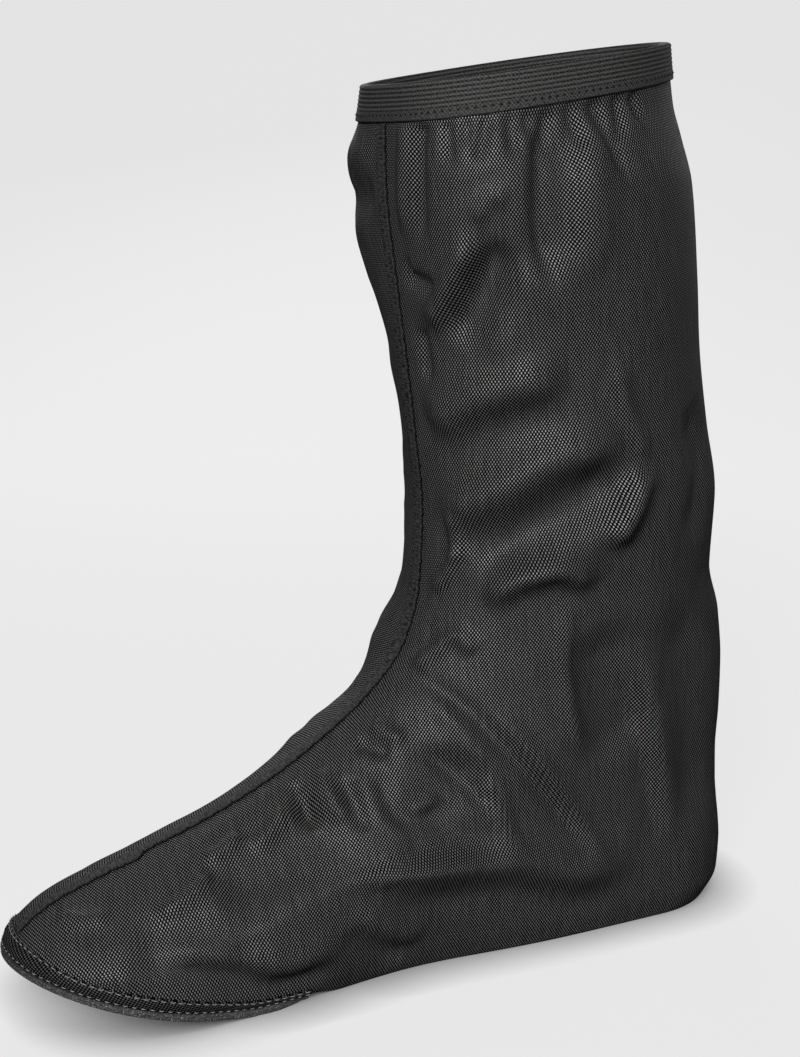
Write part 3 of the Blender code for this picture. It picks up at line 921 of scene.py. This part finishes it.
# The ribs are painted light on their crowns and dark in their furrows, which is painted shade mixed with
# the elastic's own knit and picks.
ribs = (drop * (2 * np.pi * TAPE_RIBS / TAPE_HEIGHT) + np.pi / 2).sine()
picks = (round_rim * (np.pi / TAPE_PICK)).sine()
knit = shade.noise(shade.stretched(weave, (900.0, 2200.0, 0.0)), 1.0)
ribbed = 1 - drop.between(TAPE_SELVEDGE - TAPE_EDGE, TAPE_SELVEDGE)
yarn_and_painted_rib_shade = (0.6 * ribs * ribbed + 0.5 * picks * ribs + 2.8 * knit).between(0.4, 2.4)
set_finish(shade, sockets, {
    "Base Color": yarn_and_painted_rib_shade.mix(grey(0.005), grey(0.070, 0.02)),
    "Roughness": 0.8,
    "Normal": shade.node("Bump", {}, {"Strength": 0.5, "Distance": 0.0001, "Height": yarn_and_painted_rib_shade}),
    "Specular IOR Level": 0.1,
})
tape.data.materials.append(material)
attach(tape, "root")
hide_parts("collar_elastic")

TAPE_STITCH_DROP = 0.0100
TAPE_STITCH_PITCH = 0.0030
TAPE_STITCH_FILL = 0.60
TAPE_STITCH_RADIUS = 0.00045
TAPE_STITCH_ARCH = 0.00022
TAPE_STITCH_RISE = 0.0001
stitch_share = 1 - TAPE_STITCH_DROP / TAPE_HEIGHT
stitch_path = rim_rings[0] * (1 - stitch_share) + rim_rings[1] * stitch_share
stitch_path = stitch_path + (tape_leg(TAPE_STITCH_DROP) + TAPE_STITCH_RISE) * tape_normal
stitch_path = np.concatenate((stitch_path, stitch_path[:1]))
stitch_off = np.concatenate((tape_normal, tape_normal[:1]))
tape_row = stitches("collar_stitches", stitch_path, stitch_off,
                    TAPE_STITCH_PITCH, TAPE_STITCH_FILL, TAPE_STITCH_RADIUS, TAPE_STITCH_ARCH)
tape_row.data.materials.append(thread("collar_thread", 0.001))
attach(tape_row, "root")

# The studio: pale paper that lies under the shoe and sweeps up behind it, glowing evenly but with a painted
# contact shadow, its glow darkened where the shoe stands close to it. A soft key light shines from the
# toe's side, a small bounce from near the floor, and two weak fills from behind.
CAMERA_AT = np.array((-0.3083, -0.5913, 0.3074))
LOOK_AT = np.array((0.0071, 0.0, 0.1632))
LENS = 61.0
SWEEP_NEAR = (-2.5, -1.0, 0.0)
SWEEP_FLOOR = 1.1
SWEEP_RADIUS = 0.5
SWEEP_HEIGHT = 2.2
SWEEP_TURN_STEPS = 24
SWEEP_WIDTH = 4.0
SWEEP_EDGES = 9
PAPER_GLOW = 0.748
# How far the painted contact shadow on the paper reaches from the shoe.
PAINTED_SHADOW_REACH = 0.021

ahead = unit((LOOK_AT - CAMERA_AT) * (1, 1, 0))
aside = np.array((ahead[1], -ahead[0], 0))
turn = np.linspace(0, np.pi / 2, SWEEP_TURN_STEPS)
wall = SWEEP_FLOOR + SWEEP_RADIUS
away = np.concatenate((SWEEP_NEAR, SWEEP_FLOOR + SWEEP_RADIUS * np.sin(turn), [wall]))
high = np.concatenate((np.zeros(len(SWEEP_NEAR)), SWEEP_RADIUS * (1 - np.cos(turn)), [SWEEP_HEIGHT]))
wide = np.linspace(-SWEEP_WIDTH, SWEEP_WIDTH, SWEEP_EDGES)
sweep_grid = away[:, None, None] * ahead + wide[:, None] * aside + high[:, None, None] * (0, 0, 1)
sweep = skin("studio_sweep", sweep_grid[None, :, ::-1])
sweep.visible_diffuse = False
sweep.visible_glossy = False
material, shade, sockets = new_finish("pale_paper")
where = shade.node("TexCoord", {}, {}, output=3)
fibre = shade.noise(where, 300.0, 2.0)
# Painted contact shadow: the paper's glow is darkened by occlusion near the shoe.
painted_contact_shadow = shade.node("AmbientOcclusion", {"samples": 8}, {"Distance": PAINTED_SHADOW_REACH}, output=1)
set_finish(shade, sockets, {
    "Base Color": fibre.mix(grey(0.070), grey(0.078)),
    "Roughness": 0.9,
    "Specular IOR Level": 0.0,
    "Emission Color": painted_contact_shadow.mix(grey(0.0), grey(1.0)),
    "Emission Strength": PAPER_GLOW,
})
sweep.data.materials.append(material)


def facing(at, aim):
    """A transform at a point whose -Z axis points at another, with no roll."""
    back = unit(np.array(at, float) - np.array(aim, float))
    right = unit(np.cross((0, 0, 1), back))
    rows = np.column_stack((right, np.cross(back, right), back, at))
    return Matrix((*rows.tolist(), (0, 0, 0, 1)))


def soft_box(name, at, aim, size, power):
    """A square area light that faces a point."""
    lamp = bpy.data.lights.new(name, "AREA")
    lamp.size = size
    lamp.energy = power
    light = bpy.data.objects.new(name, lamp)
    light.matrix_world = facing(at, aim)
    bpy.context.scene.collection.objects.link(light)


SHOE_MIDDLE = (0.0, 0.0, 0.15)
WAIST_LOW = (0.05, 0.0, 0.03)
LIGHT_COLUMNS = ("name", "at", "aim", "size", "power")
LIGHTS = (
    ("key", (-0.83, -1.04, 0.82), SHOE_MIDDLE, 0.4, 27.0),
    ("bounce", (0.10, -0.50, 0.02), WAIST_LOW, 0.3, 0.32),
    ("far_fill", (0.45, 1.25, 0.80), SHOE_MIDDLE, 0.8, 13.0),
    ("back_fill", (1.30, 0.45, 0.65), SHOE_MIDDLE, 0.8, 5.0),
)
for row in LIGHTS:
    soft_box(**dict(zip(LIGHT_COLUMNS, row)))
WORLD_GLOW = grey(0.030)
world = bpy.data.worlds.new("studio")
world.use_nodes = True
world.node_tree.nodes["Background"].inputs["Color"].default_value = WORLD_GLOW
bpy.context.scene.world = world
bpy.context.scene.view_settings.view_transform = "Standard"
lens = bpy.data.cameras.new("camera")
lens.lens = LENS
camera = bpy.data.objects.new("camera", lens)
camera.matrix_world = facing(CAMERA_AT, LOOK_AT)
bpy.context.scene.collection.objects.link(camera)
bpy.context.scene.camera = camera
